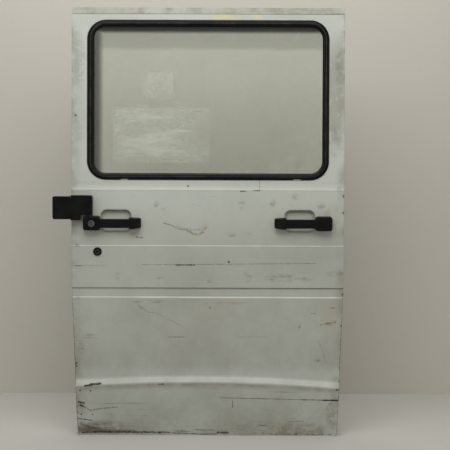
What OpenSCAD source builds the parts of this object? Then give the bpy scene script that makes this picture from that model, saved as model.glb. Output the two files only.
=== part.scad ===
// Glazed sliding side door of a light van, off the vehicle.
// X runs to the vehicle's front, Y into the vehicle, Z up. The origin is the middle of the bottom
// hem's underside. The window part and the sill part both lean inwards from the upright middle.

/* [Door panel] */
// Width of the outer panel
door_w = 1114; // [900:2:1400]
// Height from the bottom hem to the top flange
door_h = 1769; // [1600:1:2000]
// Thickness of the door, from outer panel to inner face
door_t = 62; // [50:1:90]
// Distance of the outer face in front of the origin
face_out = 70; // [64:1:90]
// Sheet thickness of the outer panel
skin_t = 1.2; // [0.8:0.1:2]
// Sheet thickness of the inner pressing
frame_t = 1.2; // [0.8:0.1:2]
// Depth of the folded hem along the upright edges
hem_d = 12; // [6:1:20]
// Radius of the two bottom corners
foot_r = 16; // [8:1:40]
// How much each side draws in towards the bottom
foot_in = 17; // [0:1:30]
// Height at which the sides begin to draw in
knee_z = 608; // [400:1:620]
// Gap between sheets and seated pieces
seat_gap = 0.3; // [0.1:0.1:0.6]

/* [Creases] */
// Lean of the window part, in degrees
lean_up = 3.5; // [0:0.5:6]
// Lean of the sill part, in degrees
lean_low = 4; // [0:0.5:6]
// Height of the belt crease
belt_z = 1027; // [980:1:1060]
// Height of the cove above the belt crease
shoulder_h = 33; // [20:1:50]
// Depth of that cove
shoulder_d = 7; // [3:0.5:12]
// Height of the small step under the handles
step_z = 799; // [740:1:820]
// Depth of the small step
step_d = 1.5; // [0.5:0.5:4]
// Height of the channel's upper edge
channel_z = 627; // [600:1:660]
// Height of the channel itself
channel_h = 41; // [20:1:60]
// Depth of the channel
channel_d = 5; // [2:0.5:10]
// Height of the slopes at the channel's edges
channel_s = 4; // [2:0.5:8]
// Height of the bowed ledge at its highest point
ledge_z = 261; // [220:1:300]
// Height of the ledge's sloping band
ledge_h = 29; // [20:1:50]
// How far the ledge stands out
ledge_d = 18; // [8:1:24]
// Radius of the ledge's bow
ledge_r = 7000; // [5000:50:12000]
// Sideways place of the bow's highest point
ledge_x = -45; // [-200:5:200]
// Inward slope below the ledge, in degrees
tuck = 5; // [2:0.5:8]

/* [Top strip] */
// Height of the strip along the top
strip_h = 27; // [14:1:40]
// How far the strip stands back from the panel
strip_d = 3; // [2:0.5:6]
// Open joint under the strip
strip_gap = 1.5; // [1:0.1:3]

/* [Window] */
// From the door's upright edge to the window rubber
seal_inset = 63; // [50:1:90]
// From the cove to the window rubber
sill_gap = 8; // [4:1:30]
// From the window rubber to the top strip
header_gap = 23; // [20:1:60]
// Width of the window rubber
seal_w = 28; // [20:1:36]
// Corner radius of the window rubber's outer edge
seal_r = 78; // [50:1:120]
// How far the rubber stands out of the panel
seal_out = 7.5; // [5:0.5:12]
// Thickness of the glass
glass_t = 4; // [3:0.5:6]
// Width of the filler strip in the rubber
bead_w = 3.4; // [2:0.2:5]

/* [Handles] */
// Height of the handles' middle line
handle_z = 892; // [850:1:940]
// From the door's upright edge to the handle's outer end
handle_inset = 50; // [35:1:80]
// Length of a handle
handle_l = 233; // [200:1:260]
// Length of the handle's head
head_l = 68; // [50:1:80]
// Height of the head
head_h = 57; // [44:1:70]
// How far the handle stands out of the panel
handle_out = 34; // [28:1:45]
// Height of the grip bar
grip_h = 37; // [28:1:44]
// Thickness of the grip bar
grip_t = 14; // [10:1:18]
// Length of the inner foot
foot_l = 46; // [36:1:60]
// Thickness of the rubber pads under the handles
pad_t = 1.5; // [1:0.5:3]
// Width of the finger recess
recess_w = 122; // [100:1:130]
// Height of the finger recess
recess_h = 90; // [70:1:110]
// Depth of the finger recess
recess_d = 18; // [10:1:26]
// Height of the recess's middle above the handle's
recess_rise = 9; // [0:1:14]
// Corner radius of the finger recess
recess_r = 24; // [12:1:35]
// Radius of the push button with the key cylinder
button_r = 13; // [9:0.5:16]
// Distance of the button from the handle's outer end
button_in = 34; // [22:1:40]

/* [Round lock] */
// Height of the round lock
lock_z = 775; // [730:1:780]
// From the door's upright edge to the lock's middle
lock_inset = 106; // [80:1:140]
// Radius of the lock's bezel
lock_r = 17.3; // [14:0.1:22]

/* [Hinge] */
// Height of the hinge cover's middle
hinge_z = 955; // [930:1:960]
// Width of the cover on the door
cover_w = 88; // [70:1:110]
// Height of the cover on the door
cover_h = 101; // [90:1:110]
// How far the covers stand out of the panel
cover_out = 34; // [30:1:44]
// Wall of the covers
cover_t = 2.5; // [2:0.5:4]
// Width of the cover on the arm
arm_cover_w = 73; // [64:1:90]
// Height of the cover on the arm
arm_cover_h = 93; // [80:1:100]
// Radius of the hinge pin
pin_r = 5; // [4:0.5:7]
// Distance of the hinge pin from the door's edge
pin_off = 13; // [12:0.5:16]
// Radius of the hinge knuckles
knuckle_r = 9; // [8:0.5:11]

/* [Rollers] */
// Radius of the guide rollers
guide_r = 11; // [8:0.5:14]
// Height of the guide rollers
guide_h = 16; // [10:1:20]
// Radius of the load rollers
load_r = 17; // [12:0.5:22]
// Width of the load rollers
load_w = 12; // [8:1:18]
// From the door's upright edge to the roller arms
roller_inset = 85; // [70:1:140]
// Reach of the top roller arm
top_reach = 62; // [50:1:90]
// Reach of the bottom roller arm
low_reach = 130; // [90:1:180]

/* [Inner side] */
// Height of the front latch
front_latch_z = 868; // [800:1:940]
// Height of the rear latch
rear_latch_z = 708; // [660:1:760]
// Height of a latch plate
latch_h = 90; // [70:1:110]
// Width of a latch mouth
mouth_w = 16; // [12:1:20]
// Depth of a latch mouth
mouth_d = 24; // [18:1:30]
// Thickness of the trim board
board_t = 3; // [2:0.5:5]
// Margin of the trim board to the door's edges
board_m = 70; // [50:5:120]
// Thickness of the rubber strips round the inner face
strip_t = 8; // [5:1:12]

/* [Hidden] */
$fn = 96;

hw = door_w/2;
half_fn = 720;
over = 1;

// Outer faces of the three parts of the door, and the two lines at which they bend
mid_y = -(face_out - step_d);
sill_y = mid_y + shoulder_d;
sill_z = belt_z + shoulder_h;
low_y = -face_out;
low_z = channel_z - channel_h;
up_len = (door_h - sill_z)/cos(lean_up);
skin_top = up_len - strip_h;
in_y = low_y + door_t;

// A point (y, z) of the leaning parts in the door's frame
function up(y, z) = [sill_y + y*cos(lean_up) + z*sin(lean_up), sill_z - y*sin(lean_up) + z*cos(lean_up)];
function low(y, z) = [low_y + y*cos(lean_low) - z*sin(lean_low),
    low_z + y*sin(lean_low) + z*cos(lean_low)];
function tenth(v) = round(10*v)/10;
function back(list) = [for (i = [len(list) - 1 : -1 : 0]) list[i]];

module upper() translate([0, sill_y, sill_z]) rotate([-lean_up, 0, 0]) children();
module lower() translate([0, low_y, low_z]) rotate([lean_low, 0, 0]) children();

// Extrude a Y-Z outline along X, and an X-Z outline along Y
module along_x(x0, x1) translate([x0, 0, 0]) rotate([90, 0, 90]) linear_extrude(x1 - x0) children();
module along_y(y0, y1) translate([0, y1, 0]) rotate([90, 0, 0]) linear_extrude(y1 - y0) children();
// Stand a flat drawing on an upright face, with its height pointing out of the door
module on_face(x, y, z) translate([x, y, z]) rotate([90, 0, 0]) children();

module rounded(w, h, r) {
    square([w - 2*r, h], center = true);
    square([w, h - 2*r], center = true);
    for (sx = [-1, 1], sy = [-1, 1]) translate([sx*(w/2 - r), sy*(h/2 - r)]) circle(r);
}

// Sweep a profile round a rounded rectangle: its x is the distance outside the path. A seam leaves
// a joint between each corner and the lengths beside it
module frame_sweep(a, b, r, seam = 0) {
    for (i = [0, 1]) {
        rotate([0, 0, 180*i]) swept_length(a, b, r, seam) children();
        rotate([0, 0, 180*i - 90]) swept_length(b, a, r, seam) children();
    }
    for (i = [0 : 3]) {
        c = i % 2 == 0 ? [a - r, b - r] : [b - r, a - r];
        rotate([0, 0, 90*i]) translate([c[0], c[1], 0]) rotate_extrude(angle = 90) translate([r, 0])
            children();
    }
}

module swept_length(a, b, r, seam) translate([r - a + seam, b, 0]) rotate([90, 0, 90])
    linear_extrude(2*(a - r - seam)) children();

// A plate with round corners and a rounded upper edge
module soft_plate(w, h, r, t, e) {
    frame_sweep(w/2 - r, h/2 - r, 0) soft_edge(r, t, e);
    translate([r - w/2, r - h/2, 0]) cube([w - 2*r, h - 2*r, t]);
}
module soft_edge(r, t, e) {
    square([r, t - e]);
    square([r - e, t]);
    translate([r - e, t - e]) intersection() {
        circle(e);
        square([e, e]);
    }
}

// Outline of the door seen from the front: its sides draw in below the knee to bent corners
draw = atan(foot_in/knee_z);
corner_bends = [-90, -72, -54, -36, -18, -draw];
function side_in(z) = foot_in*max(0, 1 - z/knee_z);
function corner_x(half, r) = half - foot_in + r*tan(draw) - r/cos(draw);
function outline_side(half, top, r, s) = concat(
    [for (a = corner_bends) [s*(corner_x(half, r) + r*cos(a)), r + r*sin(a)]],
    [[s*half, knee_z], [s*half, top]]);
module door_outline(half, top, r)
    polygon(concat(outline_side(half, top, r, 1), back(outline_side(half, top, r, -1))));

// Cove above the belt, as a list of (y, z) from its top to the crease
cove_turn = 75;
cove_n = 6;
function cove(o) = [for (i = [1 : cove_n]) let (a = cove_turn*i/cove_n)
    [sill_y + o - shoulder_d*(1 - cos(a))/(1 - cos(cove_turn)),
        sill_z - shoulder_h*sin(a)/sin(cove_turn)]];

// Section of the panel from the top down to the start of the ledge, o behind the outer face
function upper_chain(o, top) = concat(
    [up(o, top), up(o, 0)], cove(o),
    [[mid_y + o, step_z + step_d], [low_y + o, step_z - step_d],
     [low_y + o, channel_z], [low_y + channel_d + o, channel_z - channel_s],
     [low_y + channel_d + o, low_z + channel_s]]);
lap_z = -(low_z - ledge_z)/cos(lean_low);
ledge_top = lap_z;
bottom_z = -low_z/cos(lean_low) - over;
sill_run = 40;
// How far the bow drops at a place across the door, and the ledge's section there
function bow(x) = ledge_r - sqrt(pow(ledge_r, 2) - pow(x - ledge_x, 2));
function ledge_at(o, x) = concat([low(o + sill_back, 0)],
    [for (p = ledge_chain(-o - sill_back)) if (p[0] <= 0) low(-p[1], ledge_top - bow(x) + p[0])]);

// Section of the inner face, i behind the outer face
function inner_chain(i, top) = [up(i, top), up(i, 0), [low_y + i, sill_z - shoulder_h],
    [low_y + i, low_z], low(i, bottom_z)];

// The two sheets lap over each other under the channel, the lower one set back by a hair
sill_back = 0.3;
lap_from = -3;
lap_to = -11;
module panel_band(o0, o1, top) polygon(concat(
    concat(upper_chain(o0, top), [low(o0, 0), low(o0, lap_to)]),
    back(concat(upper_chain(o1, top), [low(o1, 0), low(o1, lap_to)]))));

// The ledge and the tucked-in sill, as a revolved band with its axis across the door
function ledge_chain(o) = [[2*bow(hw) - lap_z, o], [0, o], [-ledge_h*0.25, o + ledge_d*0.12],
    [-ledge_h*0.85, o + ledge_d*0.95],
    [-ledge_h, o + ledge_d], [bottom_z - ledge_top - sill_run,
        o + ledge_d + tan(tuck)*(bottom_z - ledge_top - sill_run + ledge_h)]];
module ledge_panel() {
    reach = asin((hw + abs(ledge_x) + 10)/ledge_r);
    lower() intersection() {
        translate([ledge_x, 0, ledge_top - ledge_r]) rotate([90, 0, 0]) rotate([0, 0, 90 - reach])
            rotate_extrude(angle = 2*reach, $fn = half_fn) translate([ledge_r, 0])
                polygon(concat(ledge_chain(-sill_back), back(ledge_chain(-sill_back - skin_t))));
        translate([-door_w, -face_out, lap_from - door_h]) cube([2*door_w, 2*face_out, door_h]);
    }
}

// Window sizes, in the plane of the window part
lip = seal_w/2;
ap_a = hw - seal_inset - lip;
seal_low = sill_gap;
seal_high = skin_top - header_gap;
ap_b = tenth((seal_high - seal_low)/2 - lip);
ap_r = seal_r - lip;
window_z = (seal_high + seal_low)/2;
module window_plane() upper() translate([0, 0, window_z]) rotate([90, 0, 0]) children();

handle_end = hw - handle_inset;
recess_x = handle_end - head_l - recess_w/2 - 3;
lock_x = -(hw - lock_inset);

// A pan with sloping walls that narrows away from its mouth
module pan(w, h, r, d, slope) {
    for (sx = [-1, 1], sz = [-1, 1])
        translate([sx*(w/2 - r), 0, sz*(h/2 - r)]) rotate([-90, 0, 0])
            cylinder(r1 = r, r2 = r - slope, h = d);
    along_x(r - w/2, w/2 - r) polygon([[0, -h/2], [0, h/2], [d, h/2 - slope], [d, slope - h/2]]);
    translate([0, 0, r - h/2]) linear_extrude(h - 2*r)
        polygon([[-w/2, 0], [w/2, 0], [w/2 - slope, d], [slope - w/2, d]]);
}
recess_slope = 11;
module recess(grow) for (s = [-1, 1]) translate([s*recess_x, mid_y, handle_z + recess_rise])
    pan(recess_w + 2*grow, recess_h + 2*grow, recess_r + grow, recess_d + grow, recess_slope);

module outer_skin() color("#a9ada2") difference() {
    union() {
        intersection() {
            along_y(-2*face_out, 2*face_out) door_outline(hw, door_h + over, foot_r);
            union() {
                along_x(-hw, hw) panel_band(0, skin_t, skin_top);
                ledge_panel();
            }
        }
        hems();
        recess(skin_t);
    }
    translate([0, -over*0.01, 0]) recess(0);
    window_plane() translate([0, 0, -30]) linear_extrude(60) rounded(2*ap_a, 2*ap_b, ap_r);
    on_face(lock_x, 0, lock_z) cylinder(r = lock_hole_r, h = 2*face_out);
}
// The edges folded round the upright sides
ledge_side = hw - side_in(ledge_z);
module hems() intersection() {
    along_y(-2*face_out, 2*face_out) difference() {
        door_outline(hw, door_h, foot_r);
        door_outline(hw - skin_t, door_h + over, foot_r - skin_t);
        translate([-hw, -over]) square([door_w, foot_r + over]);
    }
    for (s = [-1, 1]) along_x(s > 0 ? 0 : -hw - over, s > 0 ? hw + over : 0) polygon(concat(
        concat(upper_chain(skin_t/2, skin_top), ledge_at(skin_t/2, s*ledge_side)),
        back(concat(upper_chain(hem_d, skin_top), ledge_at(hem_d, s*ledge_side)))));
}

// Pressed channel along the door's edges: a wall behind the outer panel and a flange on the inner
// face. It is broken at each latch, where a thicker plate takes its place.
tray_half = hw - skin_t - seat_gap;
tray_top = door_h - skin_t - seat_gap;
tray_o = skin_t + seat_gap;
flange_w = 24;
side_run = foot_in + foot_r + 4;
plate_h = latch_h + 16;
function tray_front(x) = concat(
    [up(strip_d + skin_t + seat_gap, up_len + over), up(strip_d + skin_t + seat_gap, skin_top - over*2)],
    upper_chain(tray_o, skin_top - over*2), ledge_at(tray_o, x));
module channel_room(x) polygon(concat(tray_front(x), back(inner_chain(door_t, up_len + over))));
module channel_wall() intersection() {
    along_y(-2*face_out, 2*face_out) difference() {
        door_outline(tray_half, tray_top, foot_r - tray_o);
        translate([0, frame_t]) door_outline(tray_half - frame_t, tray_top - 2*frame_t,
            foot_r - tray_o - frame_t);
    }
    union() {
        for (s = [-1, 1]) along_x(s > 0 ? hw - side_run : -hw, s > 0 ? hw : side_run - hw)
            channel_room(s*ledge_side);
        along_x(side_run - hw, hw - side_run) channel_room(ledge_x);
    }
}
// The sheet of the inner face between two outlines of the door
module inner_sheet() along_x(-hw, hw) polygon(concat(
    inner_chain(door_t - frame_t, up_len + over), back(inner_chain(door_t, up_len + over))));
module panel_outline(inset) translate([0, inset]) door_outline(tray_half - inset, tray_top - 2*inset, 4);
module channel() {
    channel_wall();
    intersection() {
        inner_sheet();
        along_y(-2*face_out, 2*face_out) difference() {
            door_outline(tray_half, tray_top, foot_r - tray_o);
            panel_outline(flange_w);
        }
    }
}
module latch_room(g) for (p = [[hw - side_run, front_latch_z], [-hw, rear_latch_z]])
    translate([p[0], -2*face_out, p[1] - plate_h/2 - g]) cube([side_run, 4*face_out, plate_h + 2*g]);
module edge_channel() color("#9c9f95") difference() {
    channel();
    latch_room(seat_gap);
}
module latch_plates() color("#9c9f95") difference() {
    intersection() {
        channel();
        latch_room(0);
    }
    latch_cut(1, front_latch_z);
    latch_cut(-1, rear_latch_z);
}
module inner_panel() color("#a0a399") {
    intersection() {
        along_y(-2*face_out, 2*face_out) panel_outline(flange_w + seat_gap);
        difference() {
            inner_sheet();
            window_plane() translate([0, 0, -2*door_t]) linear_extrude(2*door_t)
                rounded(2*(ap_a + well_hole), 2*(ap_b + well_hole), ap_r + well_hole);
        }
    }
    beads();
}
// Deep frame round the window opening, from behind the outer panel to the inner face
module window_frame() color("#9c9f95") window_plane() frame_sweep(ap_a, ap_b, ap_r) polygon([
    [0, -tray_o], [well + frame_t, -tray_o], [well + frame_t, -door_t], [well, -door_t],
    [well, -tray_o - frame_t], [0, -tray_o - frame_t]]);
// Distance of the window frame's wall outside the opening, and the hole it passes through
well = 20;
well_hole = well + frame_t + seat_gap;

// Raised stiffening ribs of the inner face
rib_h = 22;
rib_d = 6;
rib_half = hw - 120;
rib_low = 130;
rib_high = 45;
rib_zs = [step_z - rib_low, belt_z - rib_high];
module beads() for (z = rib_zs) along_x(-rib_half, rib_half) polygon([
    [in_y - frame_t/2, z - rib_h/2], [in_y + rib_d, z - rib_h/4], [in_y + rib_d, z + rib_h/4],
        [in_y - frame_t/2, z + rib_h/2]]);

module top_strip() color("#9da397") intersection() {
    along_y(-2*face_out, 2*face_out) translate([-hw, 0]) square([door_w, door_h]);
    along_x(-hw, hw) polygon([up(strip_d, skin_top + strip_gap), up(strip_d, up_len + 2*over),
        up(strip_d + hem_d*2, up_len + 2*over), [up(strip_d + hem_d*2, up_len)[0], door_h - skin_t],
        [up(strip_d + skin_t, up_len)[0], door_h - skin_t], up(strip_d + skin_t, skin_top + strip_gap)]);
}

module window_glass() color("#a3a496", 0.6) window_plane() translate([0, 0, -glass_t])
    linear_extrude(glass_t) rounded(2*(ap_a - glass_in), 2*(ap_b - glass_in), ap_r - glass_in);
// Web of the rubber between the panel's edge and the glass
web_w = 4;
glass_in = web_w + 2*seat_gap;
panel_grip = skin_t + frame_t + 2*seat_gap;

// Rubber section with a groove for the panel, one for the glass and one for the filler strip. The
// corners are moulded and butt against four extruded lengths
seal_seam = 0.1;
module window_seal() color("#1b1b1b") window_plane() frame_sweep(ap_a, ap_b, ap_r, seal_seam) polygon([
    [lip, seat_gap], [lip - 0.6, 2.4], [lip - 3, 5], [lip - 7, seal_out - 0.6], [lip - 10, seal_out],
    [bead_w/2, seal_out], [bead_w/2, seal_out - bead_d], [-bead_w/2, seal_out - bead_d],
        [-bead_w/2, seal_out],
    [10 - lip, seal_out], [7 - lip, seal_out - 0.6], [3 - lip, 5], [0.6 - lip, 2.4], [-lip, seat_gap],
    [-web_w - seat_gap, seat_gap], [-web_w - seat_gap, -glass_t - seat_gap],
        [2 - lip, -glass_t - seat_gap],
    [3 - lip, -glass_t - 3], [7 - lip, -glass_t - 5.5], [lip - 9, -glass_t - 5.5],
        [lip - 4, -glass_t - 3],
    [lip - 3, -panel_grip - seat_gap], [-seat_gap, -panel_grip - seat_gap], [-seat_gap, seat_gap]]);
bead_d = 2.4;
module seal_bead() color("#2d2d2c") window_plane() frame_sweep(ap_a, ap_b, ap_r)
    translate([seat_gap/2 - bead_w/2, seal_out - bead_d]) square([bead_w - seat_gap, bead_d + 0.3]);

// Handle moulding: u runs from the inner foot to the head, heights stand on the pads
foot_top = 22;
foot_low = 24;
function foot_outline(g) = [[-g, -15 - g], [3, -18 - g], [foot_l - 10, -foot_low - g],
    [foot_l + g, -foot_low + 3 - g],
    [foot_l + g, foot_top - 1 + g], [foot_l - 10, foot_top + g], [4, foot_top - 2 + g],
        [-g, foot_top - 5 + g]];
head_bevel = 4;
head_r = 11;
button_x = handle_end - button_in;
rib_n = 4;
rib_pitch = 7;
foot_slope = 12;
module handle() {
    base = pad_t + seat_gap;
    translate([handle_l - head_l/2, 0, base])
        soft_plate(head_l, head_h, head_r, handle_out - base, head_bevel);
    intersection() {
        translate([0, 0, base]) linear_extrude(handle_out - base) polygon(foot_outline(0));
        translate([0, head_h, 0]) rotate([90, 0, 0]) linear_extrude(2*head_h)
            polygon([[-over, 0], [-over, handle_out - foot_slope],
            [foot_slope/2, handle_out - 4], [foot_slope + 4, handle_out - 1],
                [foot_l + over, handle_out - 1], [foot_l + over, 0]]);
        rotate([90, 0, 90]) linear_extrude(foot_l)
            polygon([[-foot_low - over, 0], [-foot_low - over, handle_out - 8],
            [-foot_low + 5, handle_out - 1], [foot_top - 5, handle_out - 1],
                [foot_top + over, handle_out - 8], [foot_top + over, 0]]);
    }
    grip();
}
// Grip bar between foot and head, with lengthwise ribs on its outer face
module grip() {
    u0 = foot_l - 6;
    u1 = handle_l - head_l + 6;
    z1 = handle_out - 1.5;
    z0 = z1 - grip_t;
    translate([u0, 0, 0]) rotate([90, 0, 90]) linear_extrude(u1 - u0) difference() {
        union() {
            translate([-grip_h/2 + 5, z0]) square([grip_h - 10, grip_t]);
            translate([-grip_h/2, z0 + 5]) square([grip_h, grip_t - 10]);
            for (sx = [-1, 1], z = [z0 + 5, z1 - 5]) translate([sx*(grip_h/2 - 5), z]) circle(5);
        }
        for (i = [0 : rib_n - 1]) translate([(i - (rib_n - 1)/2)*rib_pitch, z1]) circle(0.9);
    }
}
// How far the pads show round the moulding
pad_edge = 1.5;
module handle_pads() {
    translate([handle_l - head_l/2, 0, 0]) linear_extrude(pad_t)
        rounded(head_l + 2*pad_edge, head_h + 2*pad_edge, head_r + 1);
    linear_extrude(pad_t) polygon(foot_outline(pad_edge));
}
// Place a handle on its side of the door: s is 1 at the front and -1 at the rear
module at_handle(s) mirror([s > 0 ? 0 : 1, 0, 0])
    on_face(handle_end - handle_l, mid_y - seat_gap, handle_z) children();

module rear_handle() color("#171717") difference() {
    at_handle(-1) handle();
    on_face(-button_x, 0, handle_z) cylinder(r = button_r + button_gap, h = 2*face_out);
}
module rear_handle_pads() color("#242424") difference() {
    at_handle(-1) handle_pads();
    on_face(-button_x, 0, handle_z) cylinder(r = button_r + 2*button_gap, h = 2*face_out);
}
module front_handle() color("#171717") at_handle(1) handle();
module front_handle_pads() color("#242424") at_handle(1) handle_pads();

// Push button round the key cylinder, proud of the handle's head
button_gap = 0.5;
button_proud = 4;
button_len = 22;
button_core = button_r - 4;
module push_button() color("#c9c9c4")
    on_face(-button_x, mid_y - handle_out + button_len - button_proud, handle_z)
    rotate_extrude() polygon([[button_core + seat_gap/3, 0], [button_r - 2, 0], [button_r, 2],
        [button_r, button_len - 1.5],
        [button_r - 1.5, button_len], [button_core + 1, button_len],
            [button_core + seat_gap/3, button_len - 1]]);
module key_cylinder() color("#4a4a47")
    on_face(-button_x, mid_y - handle_out + button_len - button_proud, handle_z) difference() {
    union() {
        cylinder(r = button_core - 0.1, h = button_len - 0.6);
        translate([0, 0, button_len - 0.6])
            cylinder(r1 = button_core - 0.1, r2 = button_core - 1.2, h = 1.2);
    }
    translate([-1, -4, button_len - 4]) cube([2, 8, 6]);
}

// Round lock: a dished bezel in the panel, with a turning plug
lock_hole_r = 12;
plug_r = 8.2;
plug_dish = 2;
module lock_bezel() color("#151515") on_face(lock_x, low_y - seat_gap, lock_z) rotate_extrude() polygon([
    [plug_r + 0.4, -14], [lock_hole_r - seat_gap, -14], [lock_hole_r - seat_gap, 0], [lock_r, 0],
        [lock_r, 3],
    [lock_r - 2, 5.5], [lock_r - 4.5, 6], [lock_r - 6, 4.5], [plug_r + 1.4, 2.6], [plug_r + 0.4, 2.2]]);
module lock_plug() color("#6d6e6b") on_face(lock_x, low_y - seat_gap, lock_z) difference() {
    translate([0, 0, -14]) cylinder(r = plug_r, h = 16.5);
    translate([0, 0, 1]) cylinder(r = plug_r - plug_dish, h = 2);
    translate([-0.9, -3.6, -2]) cube([1.8, 7.2, 6]);
}

// Hinge: bracket on the panel, pin, swinging arm and the two covers
pin_x = -(hw + pin_off);
cover_back = mid_y - seat_gap;
cover_face = cover_back - cover_out;
pin_y = cover_face + cover_t + knuckle_r + 3;
cover_r = 8;
cover_edge = 2;
cover_split = 0.8;
knuckle_h = 20;
knuckle_gap = 0.5;
pin_play = 0.05;
arm_h = 34;
arm_t = 6;
bracket_t = 5;
// Corner of the cover that is left out round the handle's head
notch_x = 38;
notch_z = handle_z + head_h/2 + 5;

// Half of a soft plate, with its square end at x = 0
module half_plate(w, h, r, t) intersection() {
    soft_plate(2*w, h, r, t, cover_edge);
    translate([0, -h, -over]) cube([2*w, 2*h, t + 2*over]);
}
module half_cover(w, h, t) difference() {
    half_plate(w, h, cover_r, t);
    translate([-over, 0, -over]) half_plate(w + over - cover_t, h - 2*cover_t, cover_r - cover_t,
        t + over - cover_t);
}
module notch(wall) translate([notch_x - hw - wall, 2*mid_y, 0])
    cube([cover_w, 2*face_out, notch_z + wall]);
module hinge_cover() color("#121214") {
    difference() {
        at_cover(1) half_cover(cover_w - cover_split, cover_h, cover_out);
        notch(0);
    }
    // Wall along the notch, between the cover's outer faces
    intersection() {
        at_cover(1) half_plate(cover_w - cover_split, cover_h, cover_r, cover_out);
        difference() {
            notch(cover_t);
            notch(0);
        }
    }
}
// The two covers meet at the door's edge: s is 1 for the door's and -1 for the arm's
module at_cover(s) translate([-hw + (s > 0 ? cover_split : 0), 0, 0]) mirror([s > 0 ? 0 : 1, 0, 0])
    on_face(0, cover_back, hinge_z) children();

module knuckle(z, h) translate([pin_x, pin_y, z]) cylinder(r = knuckle_r, h = h);
module pin_hole() translate([pin_x, pin_y, 0]) cylinder(r = pin_r + pin_play, h = door_h);
bracket_zs = [hinge_z - arm_h/2 - knuckle_gap - knuckle_h, hinge_z + arm_h/2 + knuckle_gap];
bracket_w = 58;
web_x = -hw + 12;
tongue_t = 7;
module hinge_bracket() color("#6f706c") difference() {
    plate_low = notch_z + cover_t + 2;
    union() {
        translate([web_x, cover_back - bracket_t, plate_low])
            cube([bracket_w, bracket_t, bracket_zs[1] + knuckle_h - plate_low]);
        for (z = bracket_zs) {
            knuckle(z, knuckle_h);
            translate([pin_x, pin_y - knuckle_r, z])
                cube([web_x + tongue_t - pin_x, tongue_t, knuckle_h]);
            translate([web_x, pin_y - knuckle_r, z])
                cube([tongue_t, cover_back - pin_y + knuckle_r, knuckle_h]);
        }
    }
    pin_hole();
}
pin_head = 3;
module hinge_pin() color("#8d8e8a") {
    translate([pin_x, pin_y, bracket_zs[0] - pin_head])
        cylinder(r = pin_r, h = bracket_zs[1] + knuckle_h - bracket_zs[0] + 2*pin_head);
    translate([pin_x, pin_y, bracket_zs[1] + knuckle_h + seat_gap])
        cylinder(r = pin_r + 2.5, h = pin_head);
}

// Swinging arm: knuckle, plate, crank and the carriage plate that holds the rollers
arm_x = pin_x - 56;
crank_y = 15;
crank_t = 5;
crank_w = 8;
carriage_x = pin_x - 22;
axle_r = 4;
axle_play = 0.2;
load_at = [pin_x - 36, pin_y + crank_y, hinge_z - 24];
guide_at = [pin_x - 46, pin_y + 27.5, hinge_z + 3];
module hinge_arm() color("#6f706c") difference() {
    union() {
        knuckle(hinge_z - arm_h/2, arm_h);
        translate([arm_x, pin_y - arm_t/2, hinge_z - arm_h/2]) cube([pin_x - arm_x, arm_t, arm_h]);
        translate([arm_x, pin_y - arm_t/2, hinge_z - arm_h/2]) cube([crank_w, crank_y + arm_t/2, arm_h]);
        translate([arm_x, pin_y + crank_y - crank_t, load_at[2] - 12])
            cube([carriage_x - arm_x, crank_t, guide_at[2] - load_at[2] + 12]);
        translate([arm_x, pin_y + crank_y - crank_t, guide_at[2] - 4])
            cube([carriage_x - arm_x, guide_at[1] - pin_y - crank_y + crank_t + 8, 4]);
        translate(load_at) rotate([-90, 0, 0]) cylinder(r = axle_r, h = arm_load_w + 3);
        translate(guide_at) cylinder(r = axle_r, h = guide_h + 1);
    }
    pin_hole();
}
arm_load_r = 14;
arm_load_w = 11;
module ring(r_out, r_in, h, crown) rotate_extrude()
    polygon([[r_in, 0], [r_out - crown, 0], [r_out, crown],
    [r_out, h - crown], [r_out - crown, h], [r_in, h]]);
module arm_load_roller() color("#d9d7cc") translate(load_at + [0, 1, 0]) rotate([-90, 0, 0])
    ring(arm_load_r, axle_r + axle_play, arm_load_w, 1.5);
module arm_guide_roller() color("#d9d7cc") translate(guide_at + [0, 0, seat_gap])
    ring(guide_r, axle_r + axle_play, guide_h, 1);
boss_r = 5;
boss_zs = [hinge_z - 11, hinge_z + 11];
arm_cover_d = 24;
module arm_cover() color("#121214") {
    difference() {
        at_cover(-1) half_cover(arm_cover_w, arm_cover_h, cover_out);
        translate([-2*hw, cover_face + arm_cover_d, 0]) cube([2*hw, 2*face_out, door_h]);
    }
    for (z = boss_zs) translate([pin_x - 36, cover_face + cover_t/2, z]) rotate([-90, 0, 0])
        cylinder(r = boss_r, h = pin_y - arm_t/2 - seat_gap - cover_face - cover_t/2);
}

// Roller arms on the inner side, at the top and bottom of the front edge
arm_plate_t = 4;
plate_edge = 3;
top_arm_w = 26;
top_arm_x = hw - 20;
top_arm_z = skin_top - 20;
function top_point() = up(door_t, top_arm_z);
top_roller_at = [top_arm_x, top_point()[0] + top_reach - 14, top_point()[1] + arm_plate_t];
module top_roller_bracket() color("#77786f") {
    upper() translate([top_arm_x - top_arm_w/2 - plate_edge, door_t + seat_gap, top_arm_z - 62])
        cube([top_arm_w + 2*plate_edge, arm_plate_t, 74]);
    translate([top_arm_x - top_arm_w/2, top_point()[0] + 1, top_point()[1]])
        cube([top_arm_w, top_reach - 15, arm_plate_t]);
    translate([top_roller_at[0], top_roller_at[1], top_point()[1]])
        cylinder(r = top_arm_w/2, h = arm_plate_t);
    translate(top_roller_at) cylinder(r = axle_r, h = guide_h + 1);
    along_x(top_arm_x - 2, top_arm_x + 2) polygon([[top_point()[0] + 2, top_point()[1] + 1],
        [top_point()[0] + top_reach*0.6, top_point()[1] + 1], [top_point()[0], top_point()[1] - 40]]);
}
module top_roller() color("#d9d7cc") translate(top_roller_at + [0, 0, seat_gap])
    ring(guide_r, axle_r + axle_play, guide_h, 1);

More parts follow.
